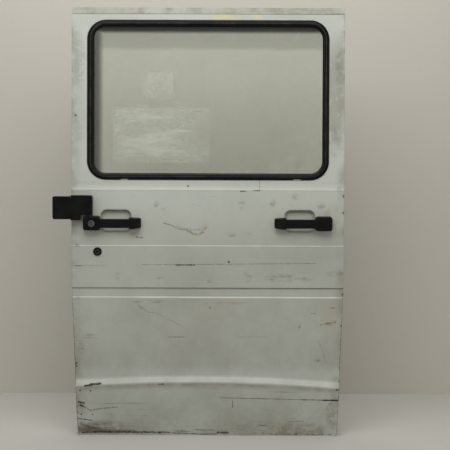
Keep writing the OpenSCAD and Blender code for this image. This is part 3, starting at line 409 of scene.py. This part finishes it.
# scratches: places along each, width, colour, how much of the paint held, strength
SCRATCHES = (
    (((-0.5429, 0.7157), (-0.4943, 0.7159), (-0.4288, 0.7163)), 0.0017, SCUFF, 0.42, 0.8),
    (((-0.5400, 0.7157), (-0.5150, 0.7158)), 0.0030, BLACKENED, 0.40, 0.8),
    (((-0.1282, 0.7203), (-0.054, 0.7205)), 0.0034, BLACKENED, 0.36, 0.95),
    (((-0.269, 0.7208), (0.0177, 0.7238), (0.4396, 0.7284)), 0.0018, SCUFF, 0.38, 0.9),
    (((-0.1794, 0.8921), (-0.1513, 0.8845), (-0.1206, 0.8692), (-0.0849, 0.8642),
      (-0.0644, 0.8515), (-0.0414, 0.8439), (-0.0184, 0.8568), (-0.0083, 0.8748)),
     0.0040, (0.19, 0.185, 0.135), 0.36, 0.8),
    (((-0.0849, 0.8642), (-0.0644, 0.8515), (-0.0414, 0.8439), (-0.0184, 0.8568)),
     0.0095, (0.22, 0.215, 0.155), 0.46, 0.75),
    (((-0.1240, 0.8790), (-0.0950, 0.8700), (-0.0600, 0.8640), (-0.0230, 0.8680)),
     0.0060, (0.27, 0.265, 0.20), 0.42, 0.6),
    (((-0.2898, 0.5622), (-0.2746, 0.5439), (-0.2439, 0.5231), (-0.2182, 0.5243), (-0.1874, 0.5076),
      (-0.1463, 0.4868), (-0.1, 0.4633)), 0.0020, SCUFF, 0.42, 0.7),
    (((-0.2790, 0.5480), (-0.2700, 0.5400)), 0.0045, BLACKENED, 0.44, 0.7),
    (((0.2109, 1.0694), (0.2109, 1.0264)), 0.0018, SCUFF, 0.30, 0.75),
    (((0.1336, 1.0235), (0.154, 1.0236)), 0.0030, BLACKENED, 0.34, 0.9),
    (((0.1871, 1.0263), (0.2126, 1.0264)), 0.0030, BLACKENED, 0.34, 0.9),
    (((-0.163, 0.4204), (-0.097, 0.4207)), 0.0022, SCUFF, 0.32, 0.85),
    (((0.1175, 0.4214), (0.2494, 0.4219)), 0.0017, SCUFF, 0.42, 0.7),
    (((-0.5177, 0.415), (-0.4517, 0.4152)), 0.0017, SCUFF, 0.40, 0.7),
    (((0.4264, 0.5203), (0.447, 0.5203)), 0.0030, SCUFF, 0.40, 0.7),
    (((0.4657, 0.4732), (0.495, 0.478), (0.5247, 0.4891)), 0.0030, SCUFF, 0.40, 0.7),
    (((0.455, 0.408), (0.475, 0.368), (0.490, 0.308)), 0.0022, SCUFF, 0.44, 0.6),
    (((-0.06, 0.968), (-0.03, 0.963)), 0.0030, SCUFF, 0.45, 0.4),
    (((0.0523, 0.1654), (0.2181, 0.1628), (0.4772, 0.1571), (0.5394, 0.1563)),
     0.0022, (0.09, 0.075, 0.055), 0.34, 0.85),
    (((0.4824, 0.1566), (0.5415, 0.1563)), 0.0052, BLACKENED, 0.28, 0.97),
    (((0.3900, 0.1587), (0.4824, 0.1570)), 0.0030, BLACKENED, 0.42, 0.85),
    (((0.1042, 0.1515), (0.1043, 0.1242)), 0.0024, (0.06, 0.045, 0.03), 0.36, 0.85),
    (((0.3389, 0.0625), (0.4013, 0.065)), 0.0022, SCUFF, 0.36, 0.8),
    (((-0.5057, 0.2156), (-0.4746, 0.2222), (-0.4415, 0.2255)), 0.0060, BLACKENED, 0.22, 1.0),
    (((-0.2000, 0.2243), (-0.1820, 0.2243)), 0.0036, BLACKENED, 0.32, 0.9),
    (((-0.5333, 0.1459), (-0.5127, 0.1416)), 0.0075, BLACKENED, 0.36, 0.95),
    (((-0.5284, 0.1329), (-0.511, 0.1253)), 0.0058, BLACKENED, 0.38, 0.95),
    (((-0.5079, 0.1242), (-0.4854, 0.109), (-0.4458, 0.1168), (-0.373, 0.1247)),
     0.0038, (0.055, 0.042, 0.026), 0.42, 0.85),
    (((-0.5382, 0.0737), (-0.5092, 0.0694), (-0.4781, 0.0651)),
     0.0038, (0.05, 0.038, 0.024), 0.42, 0.9),
    (((-0.5252, 0.0507), (-0.4891, 0.0365), (-0.4477, 0.0234), (-0.4062, 0.0147)),
     0.0070, (0.05, 0.035, 0.020), 0.44, 0.85),
    (((-0.52, 0.012), (-0.4583, 0.0146), (-0.1611, 0.0134)), 0.0056, BLACKENED, 0.38, 0.93),
    (((-0.1611, 0.0110), (-0.0307, 0.0061), (0.0400, 0.0070)),
     0.0035, (0.05, 0.04, 0.03), 0.38, 0.9),
    (((0.0423, 0.013), (0.0861, 0.0132)), 0.0064, BLACKENED, 0.36, 0.95),
    (((0.2302, 0.0071), (0.3763, 0.0065)), 0.0046, BLACKENED, 0.46, 0.85),
    (((0.4076, 0.0066), (0.5172, 0.007)), 0.0048, BLACKENED, 0.46, 0.85),
)
for places, width, colour, held, amount in SCRATCHES:
    paint.add(colour, paint.stroke(places, width, held) * amount)

# single dark chips, each with its size in millimetres
CHIPS = (
    (-0.5269, 0.1960, 5), (-0.4835, 0.1940, 5), (-0.5242, 0.0924, 5), (-0.4775, 0.0915, 4),
    (0.5362, 0.2019, 6), (-0.081, 1.0442, 5), (-0.54, 1.3311, 5), (-0.536, 0.8011, 4),
    (-0.2893, 0.8348, 4), (0.0863, 0.7339, 6), (0.525, 0.483, 4), (-0.5421, 0.3091, 6),
    (-0.5419, 0.2964, 5), (0.5554, 1.0036, 7), (0.5541, 0.9362, 6), (0.553, 0.60, 5),
    (0.552, 0.47, 6))
chips = None
for x, z, size in CHIPS:
    away = paint.node("ShaderNodeVectorMath", {"operation": "DISTANCE"},
                      (paint.flat, (x, 0.0, z)), "Value")
    spot = away / (size * 0.001)
    chips = spot if chips is None else chips.least(spot)
paint.add(BLACKENED, paint.ramp(chips + (paint.fray - 0.5) * 1.4, 0.95, 0.55) * 0.85)

paint.feed("Base Color", paint.colour)
paint.feed("Roughness", paint.ramp(veil, 0.3, 0.7, 0.36, 0.58))
ripple = paint.noise(3.1, 2, 0.4, seed=8.0)
peel = paint.noise(420, 2, 0.5)
paint.bump((ripple, 0.0035), (cloud, 0.0006), (peel, 0.00005))
paint.coat_node("outer_skin")

# inner pressing
# The same steel, sprayed thinner and never polished: duller paint, spot welds along the
# flanges, dust, and a little rust at its foot and edges.
inner = Paint("inner_paint", (0.385, 0.400, 0.358), (0.335, 0.350, 0.310))
inner_edge = inner.edge_distance()
cloud = inner.noise(7, 7, 0.68)
inner.add(GRIME, inner.ramp(cloud, 0.42, 0.68) * 0.38)
inner.add(GRIME, inner.ramp(inner.z, 0.5, 0.0, 0.0, 0.5)
          * inner.ramp(inner.noise(15, 6, 0.7, seed=2.0), 0.4, 0.62))
inner.add(RUST, inner.ramp(inner.z, 0.10, 0.0) * inner.ramp(cloud, 0.50, 0.60) * 0.8)
inner.add(RUST, inner.ramp(inner_edge, 0.012, 0.0) * inner.ramp(inner.fray, 0.56, 0.64) * 0.7)
pitch = 0.055
rows = inner.z / pitch
weld_row = inner.length_of((rows.maths("FRACT", rows) - 0.5) * pitch, inner_edge - 0.011)
weld = inner.ramp(weld_row, 0.0042, 0.0026)
inner.add((0.33, 0.34, 0.30), weld * 0.5)
inner.feed("Base Color", inner.colour)
inner.feed("Roughness", inner.ramp(cloud, 0.3, 0.7, 0.5, 0.72))
inner.bump((inner.noise(3.4, 2, 0.4), 0.004), (weld, -0.0007), (inner.noise(300, 3, 0.6), 0.00012))
inner.coat_node("inner_panel", "edge_channel", "latch_plates", "window_frame")

# top strip
# Folded steel strip that closes the door's top, set a little back from the panel. Its paint
# has weathered darker and greener, and it is darkened along its lower edge over the open joint under
# it.
strip = Paint("strip_paint", (0.430, 0.445, 0.385), (0.360, 0.370, 0.310))
cloud = strip.noise(13, 7, 0.7)
strip.add(GRIME, strip.ramp(cloud, 0.42, 0.64) * 0.5)
strip.add(SCUFF, strip.ramp(strip.noise(40, 6, 0.75, stretch=(0.2, 1, 1)), 0.58, 0.70) * 0.7)
strip.add(BLACKENED, strip.ramp(strip.z, 1.7455, 1.7425) * 0.55)
strip.feed("Base Color", strip.colour)
strip.feed("Roughness", strip.ramp(cloud, 0.3, 0.7, 0.45, 0.65))
strip.bump((cloud, 0.0008), (strip.noise(350, 2, 0.5), 0.00008))
strip.coat_node("top_strip")

# window glass
# Flat toughened glass, faintly green, held in the rubber. A film of dust with wiped streaks lies
# on it, with pale marks as of a sheet once stuck there, and below its top the film darkens in a band
# of painted shade. Both faces carry the same film.
glass = Finish("door_glass", rough=0.02, colour=(0.80, 0.84, 0.77),
               Transmission_Weight=1.0, IOR=1.5)
dust = glass.noise(6, 6, 0.66)
swipes = glass.noise(13, 6, 0.7, stretch=(0.25, 1.0, 1.0), seed=2.0)


def glass_patch(x, z, half_x, half_z, soft):
    inside = (abs(glass.x - x) - half_x).most(abs(glass.z - z) - half_z)
    return glass.ramp(inside + (dust - 0.5) * soft, soft, 0.0)


sheet_mark = (glass_patch(-0.190, 1.250, 0.186, 0.100, 0.02)
              * glass.ramp(swipes, 0.40, 0.70, 0.25, 1.0)
              * glass.ramp(glass.x, 0.0, -0.16, 0.45, 1.0))
upper_mark = (glass_patch(-0.198, 1.453, 0.048, 0.048, 0.012)
              * glass.ramp(dust, 0.35, 0.65, 0.45, 0.85)).most(
    glass_patch(-0.190, 1.385, 0.060, 0.030, 0.05) * glass.ramp(swipes, 0.45, 0.65) * 0.7)
# The glass is darker along its top and its left edge. In the photo that is most likely the shade
# of the rubber and the frame. It is painted on here, so it stays put under other light.
GLASS_TOP = 1.691
GLASS_LEFT = -0.466
from_top = GLASS_TOP - glass.z
from_left = glass.x - GLASS_LEFT
# the film darkens in a band below the top: painted shade
painted_shade_band = (glass.ramp(from_top + (dust - 0.5) * 0.02, 0.100, 0.080) * 0.19
              + glass.ramp(from_top, 0.095, 0.030, 0.0, 0.07))
pale = glass.ramp(dust, 0.35, 0.7, 0.15, 0.22) + sheet_mark * 0.46 + upper_mark * 0.30
dust_and_shade_tone = glass.blend((0.58, 0.60, 0.52), (0.12, 0.125, 0.10), painted_shade_band / (pale + painted_shade_band))
film = glass.node("ShaderNodeBsdfPrincipled", {}, {"Base Color": dust_and_shade_tone, "Roughness": 0.5})
cover = (pale + painted_shade_band).least(0.95)
filmed = glass.node("ShaderNodeMixShader", {}, (cover, glass.plain, film))
top_shade = (glass.ramp(from_top, 0.031, 0.013, 0.0, 0.86)
             + glass.ramp(from_top, 0.014, 0.002, 0.0, 0.11))
left_shade = (glass.ramp(from_left, 0.044, 0.012, 0.0, 0.58)
              + glass.ramp(from_left, 0.008, 0.0, 0.0, 0.25))
# a near-black coat over the top and left edges: painted shade
painted_shade_coat = glass.node("ShaderNodeBsdfPrincipled", {}, {
    "Base Color": (0.004, 0.004, 0.003, 1.0), "Roughness": 0.5, "Specular IOR Level": 0.15})
glass.surface(glass.node("ShaderNodeMixShader", {}, (
    top_shade.most(left_shade), filmed, painted_shade_coat)))
glass.coat_node("window_glass")

# rubbers
# The window rubber and its filler strip, the pads under the handles and the strips round
# the inner face: black rubber, shiny where rubbed and grey where dust has settled.


class Dark(Finish):
    """Black rubber or plastic with fine grain and settled dust."""

    def __init__(self, name, colour, dust_colour, rough, dusty, grain, grain_depth):
        super().__init__(name, rough=rough, Specular_IOR_Level=0.13)
        self.cloud = self.noise(18, 6, 0.66)
        self.fine = self.noise(grain, 3, 0.6)
        normal = self.node("ShaderNodeNewGeometry", {}, (), "Normal")
        facing = self.node("ShaderNodeSeparateXYZ", {}, (normal,))
        self.upward = Value(self, facing.socket.node.outputs[2])
        self.colour = self.blend(colour, dust_colour, self.ramp(self.cloud, 0.42, 0.72) * dusty)
        self.colour = self.blend(self.colour, dust_colour,
                                 self.ramp(self.upward, 0.2, 0.95) * dusty * 1.5)
        self.rough = self.ramp(self.cloud, 0.3, 0.7, rough - 0.08, rough + 0.14)
        self.layers = [(self.fine, grain_depth), (self.cloud, 0.0003)]

    def done(self, *names):
        self.feed("Base Color", self.colour)
        self.feed("Roughness", self.rough)
        self.bump(*self.layers)
        return self.coat_node(*names)


rubber = Dark("window_rubber", (0.0028, 0.0028, 0.0030), (0.034, 0.034, 0.031),
              0.27, 0.11, 700, 0.00003)
# two pale marks on the rubber's lower edge, at their places in the photo
for x in (-0.341, 0.363):
    pale_mark = rubber.ramp(abs(rubber.x - x), 0.0165, 0.0125) * rubber.ramp(rubber.z, 1.0730, 1.0705)
    rubber.colour = rubber.blend(rubber.colour, (0.50, 0.52, 0.46),
                                 pale_mark * rubber.ramp(rubber.cloud, 0.3, 0.45) * 0.9)
rubber.done("window_seal")
Dark("filler_strip", (0.026, 0.026, 0.025), (0.09, 0.09, 0.085),
     0.20, 0.25, 500, 0.00003).done("seal_bead")
Dark("soft_rubber", (0.016, 0.016, 0.016), (0.12, 0.115, 0.10), 0.62, 0.35, 420, 0.00008).done(
    "rear_handle_pads", "front_handle_pads", "front_edge_rubber", "rear_edge_rubber",
    "bottom_rubber")

# handles and covers
# Moulded black plastic with a fine grain, rubbed grey in streaks. Dust lies on the faces
# that look up.
plastic = Dark("handle_plastic", (0.0036, 0.0036, 0.0037), (0.030, 0.029, 0.026),
               0.42, 0.12, 900, 0.00005)
plastic.colour = plastic.blend(
    plastic.colour, (0.024, 0.023, 0.021),
    plastic.ramp(plastic.noise(120, 5, 0.8, stretch=(0.2, 1, 1)), 0.62, 0.72) * 0.6)
plastic.done("rear_handle", "front_handle", "lock_bezel")
shell = Dark("cover_plastic", (0.0034, 0.0033, 0.0037), (0.024, 0.023, 0.022),
             0.38, 0.13, 760, 0.00005)
shell.colour = shell.blend(
    shell.colour, (0.020, 0.019, 0.019),
    shell.ramp(shell.noise(90, 5, 0.8, stretch=(1, 1, 0.3)), 0.62, 0.74) * 0.6)
shell.done("hinge_cover", "arm_cover")
Dark("lever_plastic", (0.020, 0.020, 0.020), (0.11, 0.105, 0.09), 0.45, 0.3, 800, 0.00006).done(
    "release_plate", "release_lever", "trim_clips")

# cover lip
# A thin lip of the same plastic behind the hinge cover's free edge closes the slit between the
# two covers from inside. It is a guess, made because the photo shows no slit there.
LIP_AT = (-0.5576, -0.0997, 0.955)
LIP_SIZE = (0.0056, 0.0008, 0.084)
lip_strip = bmesh.new()
made = bmesh.ops.create_cube(lip_strip, size=1.0)
bmesh.ops.transform(lip_strip, verts=made["verts"],
                    matrix=Matrix.Translation(LIP_AT) @ Matrix.Diagonal((*LIP_SIZE, 1.0)))
new_piece("cover_lip", lip_strip, shell, "door", 30)

# metal parts
# Zinc plated steel: the hinge, the roller arms and the latches. The plating is cloudy, with
# old grease and light rust in patches. The push button is a chrome plated rim round its lock.


class Plated(Finish):
    """Plated steel with cloudy bloom, grease and rust."""

    def __init__(self, name, colour, rough, rusty, greasy):
        super().__init__(name, rough=rough, metal=1.0)
        cloud = self.noise(30, 7, 0.7)
        fine = self.noise(150, 4, 0.65)
        bloom = self.blend(tuple(c * 0.72 for c in colour), colour, self.ramp(cloud, 0.35, 0.65))
        grease = self.ramp(self.noise(22, 5, 0.6, seed=4.0), 0.50, 0.66) * greasy
        rust = self.ramp(cloud + (fine - 0.5) * 0.35, 0.56, 0.66) * rusty
        self.shade = self.blend(self.blend(bloom, (0.030, 0.024, 0.016), grease),
                                (0.145, 0.062, 0.026), rust)
        self.feed("Base Color", self.shade)
        self.feed("Roughness", self.ramp(cloud, 0.3, 0.7, rough - 0.08, rough + 0.12) + rust * 0.3)
        self.feed("Metallic", 1.0 - (rust + grease * 0.7).held())
        self.bump((fine, 0.00012), (rust, 0.0002))


zinc = Plated("zinc_steel", (0.46, 0.45, 0.41), 0.42, 0.5, 0.45)
zinc.coat_node("hinge_bracket", "hinge_arm", "top_roller_bracket", "low_roller_bracket",
               "front_latch", "rear_latch")
Plated("fork_steel", (0.34, 0.33, 0.30), 0.36, 0.35, 0.7).coat_node(
    "front_latch_fork", "rear_latch_fork", "hinge_pin")
Plated("chrome_plate", (0.36, 0.36, 0.355), 0.15, 0.12, 0.35).coat_node("push_button")
Plated("cylinder_steel", (0.16, 0.16, 0.155), 0.40, 0.3, 0.6).coat_node("key_cylinder")
plug = Plated("plug_steel", (0.34, 0.34, 0.33), 0.34, 0.2, 0.3)
# the plug's face is darkened near the lock's axis: painted shade in its recessed centre
centre = plug.node("ShaderNodeVectorMath", {"operation": "MULTIPLY"}, (plug.place, (1.0, 0.0, 1.0)))
LOCK_AT = (-0.451, 0.0, 0.775)
off_axis = plug.node("ShaderNodeVectorMath", {"operation": "DISTANCE"}, (centre, LOCK_AT), "Value")
plug.feed("Base Color", plug.blend(plug.shade, (0.012, 0.012, 0.012),
                                   plug.ramp(off_axis, 0.0068, 0.0062)))
plug.coat_node("lock_plug")

# rollers
# Cream nylon wheels on steel axles, stained brown by the grease of the rails.
nylon = Finish("roller_nylon", rough=0.4)
stain = nylon.noise(60, 6, 0.7)
shade = nylon.blend((0.50, 0.47, 0.38), (0.20, 0.15, 0.09), nylon.ramp(stain, 0.40, 0.68) * 0.8)
nylon.feed("Base Color", shade)
nylon.feed("Roughness", nylon.ramp(stain, 0.3, 0.7, 0.32, 0.55))
nylon.bump((nylon.noise(400, 3, 0.6), 0.00006))
nylon.coat_node("arm_load_roller", "arm_guide_roller", "top_roller", "low_load_roller",
                "low_guide_roller")

# trim board
# Pressed fibre board over the sill's inner face, brown and coarse, with darker damp stains
# along its lower edge. Plastic clips hold it.
board = Finish("fibre_board", rough=0.85)
fibres = board.noise(190, 6, 0.8, stretch=(0.35, 1, 1))
damp = board.noise(5, 6, 0.66)
tone = board.blend((0.125, 0.098, 0.068), (0.20, 0.165, 0.118), board.ramp(fibres, 0.36, 0.66))
tone = board.blend(tone, (0.06, 0.045, 0.032),
                   board.ramp(board.z, 0.32, 0.12) * board.ramp(damp, 0.40, 0.60) * 0.8)
board.feed("Base Color", board.blend(tone, (0.25, 0.23, 0.19), board.ramp(damp, 0.55, 0.75) * 0.4))
board.feed("Roughness", board.ramp(fibres, 0.3, 0.7, 0.78, 0.92))
board.bump((fibres, 0.0003), (damp, 0.0012))
board.coat_node("trim_board")

# bolts and clips of the roller arms
# Hexagon bolts with washers hold the two brackets to the inner pressing, and a snap washer
# sits on each axle's end.
LEAN_UP = math.radians(3.5)
LEAN_LOW = math.radians(4.0)
SILL = (-0.0615, 1.060)
LOW = (-0.070, 0.586)
DOOR_T = 0.062
GAP = 0.0003
ARM_T = 0.004
DOOR_H = 1.769
WASHER_T = 0.0014
to_upper = Matrix.Translation((0, *SILL)) @ Matrix.Rotation(-LEAN_UP, 4, "X")
to_lower = Matrix.Translation((0, *LOW)) @ Matrix.Rotation(LEAN_LOW, 4, "X")
inward = Matrix.Rotation(-math.pi / 2, 4, "X")


def turned_disc(mesh, place, radius, height, chamfer, sides=32):
    """A disc that stands on its local ground, with a chamfered upper edge."""
    made = bmesh.ops.create_circle(mesh, cap_ends=True, radius=radius, segments=sides)
    face = [f for f in mesh.faces if f.verts[0] in made["verts"]]
    low = made["verts"]
    bmesh.ops.reverse_faces(mesh, faces=face)
    raised = bmesh.ops.extrude_face_region(mesh, geom=face)
    top = [v for v in raised["geom"] if isinstance(v, bmesh.types.BMVert)]
    bmesh.ops.translate(mesh, verts=top, vec=(0, 0, height))
    bmesh.ops.contextual_create(mesh, geom=low)
    rim = [e for e in mesh.edges if e.verts[0] in top and e.verts[1] in top]
    every = set(low) | set(top)
    out = bmesh.ops.bevel(mesh, geom=rim, affect="EDGES", offset=chamfer, segments=2,
                          profile=0.5, material=-1)
    every |= set(out["verts"])
    every = [v for v in every if v.is_valid]
    linked = [f for f in mesh.faces if all(v in every for v in f.verts)]
    bmesh.ops.recalc_face_normals(mesh, faces=linked)
    bmesh.ops.transform(mesh, matrix=place, verts=every)


def hex_bolt(mesh, place, radius=0.0075, height=0.0055):
    """A hexagon head on its washer, with the stub of its shank on top."""
    head = place @ Matrix.Translation((0, 0, WASHER_T))
    stub = place @ Matrix.Translation((0, 0, WASHER_T + height))
    turned_disc(mesh, place, radius * 1.5, WASHER_T, 0.0003)
    turned_disc(mesh, head, radius, height, 0.0009, sides=6)
    turned_disc(mesh, stub, radius * 0.55, 0.0012, 0.0004, sides=20)


def on_plate(lean, x, up):
    """A place on an arm's plate, in one of the door's leaning parts."""
    return lean @ Matrix.Translation((x, DOOR_T + GAP + ARM_T, up)) @ inward


bolt_steel = Plated("bolt_steel", (0.40, 0.385, 0.34), 0.45, 0.65, 0.4)
bolts = bmesh.new()
TOP_ARM_X = HALF_W - 0.020
top_plate = (DOOR_H - SILL[1]) / math.cos(LEAN_UP) - 0.047
for rise in (-0.050, -0.022):
    hex_bolt(bolts, on_plate(to_upper, TOP_ARM_X, top_plate + rise), 0.0062, 0.0045)
LOW_ARM_X = HALF_W - 0.085
low_plate = -(LOW[1] - 0.070) / math.cos(LEAN_LOW)
for side in (-0.018, 0.018):
    hex_bolt(bolts, on_plate(to_lower, LOW_ARM_X + side, low_plate - 0.020))
    hex_bolt(bolts, on_plate(to_lower, LOW_ARM_X + side * 0.55, low_plate + 0.026))
new_piece("bracket_bolts", bolts, bolt_steel, "door", 30)

CLIP_R = 0.0076


def axle_clip(mesh, name, upright):
    """A snap washer on the end of a roller's axle, which is upright or points inwards."""
    low_corner, high_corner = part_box(name)
    middle = (Vector(low_corner) + Vector(high_corner)) / 2
    if upright:
        place = Matrix.Translation((middle.x, middle.y, high_corner[2]))
    else:
        place = Matrix.Translation((middle.x, high_corner[1], middle.z)) @ inward
    turned_disc(mesh, place, CLIP_R, 0.0012, 0.0003)


clips = bmesh.new()
axle_clip(clips, "top_roller", True)
axle_clip(clips, "low_guide_roller", True)
axle_clip(clips, "low_load_roller", False)
new_piece("axle_clips", clips, bolt_steel, "door", 30)

arm_clips = bmesh.new()
axle_clip(arm_clips, "arm_guide_roller", True)
axle_clip(arm_clips, "arm_load_roller", False)
new_piece("arm_axle_clips", arm_clips, bolt_steel, "swing_arm", 30)

# latch screws
# Three cross-head screws round each latch's mouth go through the door's upright edge into
# the latch plate.
screws = bmesh.new()
SIDE_X = HALF_W - 0.0018
IN_Y = -0.008
HEAD_R = 0.0052
CROSS = 0.0011


def cross_screw(mesh, place):
    """A flat round head with a cross on it."""
    turned_disc(mesh, place, HEAD_R, 0.0016, 0.0006, sides=28)
    for turn in (0.0, math.pi / 2):
        made = bmesh.ops.create_cube(mesh, size=1.0)
        shape = (place @ Matrix.Rotation(turn, 4, "Z") @ Matrix.Translation((0, 0, 0.00155))
                 @ Matrix.Diagonal((HEAD_R * 1.25, CROSS, 0.0003, 1.0)))
        bmesh.ops.transform(mesh, matrix=shape, verts=made["verts"])


for side, middle_z in ((1, 0.868), (-1, 0.708)):
    for rise, depth in ((0.032, 0.014), (-0.032, 0.014), (0.0, 0.026)):
        place = (Matrix.Translation((side * SIDE_X, IN_Y - depth, middle_z + rise))
                 @ Matrix.Rotation(side * math.pi / 2, 4, "Y"))
        cross_screw(screws, place)
new_piece("latch_screws", screws, bolt_steel, "door", 30)

# hole plugs
# Soft rubber plugs, as in the round access holes of such a pressing. They are dressing alone:
# the inner panel has no holes under them, and they sit on its unbroken sheet.
plugs = bmesh.new()
for x, z in ((-0.40, 0.838), (0.06, 0.838), (-0.18, 0.713), (0.30, 0.768)):
    place = Matrix.Translation((x, IN_Y, z)) @ inward
    turned_disc(plugs, place, 0.0165, 0.0022, 0.0012, sides=40)
    turned_disc(plugs, place @ Matrix.Translation((0, 0, 0.0022)), 0.0095, 0.0012, 0.0008, sides=32)
plug_rubber = Dark("plug_rubber", (0.020, 0.020, 0.020), (0.12, 0.115, 0.10),
                   0.6, 0.4, 420, 0.00008).done()
new_piece("hole_plugs", plugs, plug_rubber, "door", 30)

# lights and camera
# A broad soft lamp high in front, as from a hall's ceiling, weaker ones at each side and
# above the door's back, and an even grey surround. The camera looks slightly down at the
# door from nearly five metres.
scene = bpy.context.scene


def soft_lamp(name, place, aim, size, watts, colour=(1.0, 1.0, 1.0)):
    light = bpy.data.lights.new(name, "AREA")
    light.shape, light.size, light.size_y = "RECTANGLE", size[0], size[1]
    light.energy, light.color = watts, colour
    lamp = bpy.data.objects.new(name, light)
    lamp.location = place
    lamp.rotation_euler = (Vector(aim) - Vector(place)).to_track_quat("-Z", "Y").to_euler()
    scene.collection.objects.link(lamp)


soft_lamp("ceiling_lamp", (-0.15, -1.9, 3.1), (0.0, 0.0, 0.9), (2.6, 1.6), 60)
soft_lamp("left_lamp", (-2.9, -2.6, 2.2), (0.0, 0.0, 0.9), (1.4, 1.8), 12)
soft_lamp("right_lamp", (2.9, -2.4, 1.8), (0.4, 0.3, 0.7), (1.4, 1.8), 10, (1.0, 0.96, 0.9))
soft_lamp("rear_lamp", (0.0, 0.72, 2.6), (0.0, 0.0, 0.75), (2.2, 0.25), 13)
world = bpy.data.worlds.new("studio")
world.use_nodes = True
surround = world.node_tree.nodes["Background"]
surround.inputs["Color"].default_value = (1.0, 0.99, 0.96, 1.0)
surround.inputs["Strength"].default_value = 0.36
scene.world = world

SENSOR = 36.0
FOCAL_PIXELS = 1183.9
PHOTO_PIXELS = 450
camera = bpy.data.objects.new("camera", bpy.data.cameras.new("camera"))
camera.data.sensor_width = SENSOR
camera.data.lens = FOCAL_PIXELS / PHOTO_PIXELS * SENSOR
camera.location = (0.064, -4.893, 1.248)
camera.rotation_euler = (math.radians(85.70), math.radians(-0.21), math.radians(-0.06))
scene.collection.objects.link(camera)
scene.camera = camera
scene.view_settings.view_transform = "Standard"
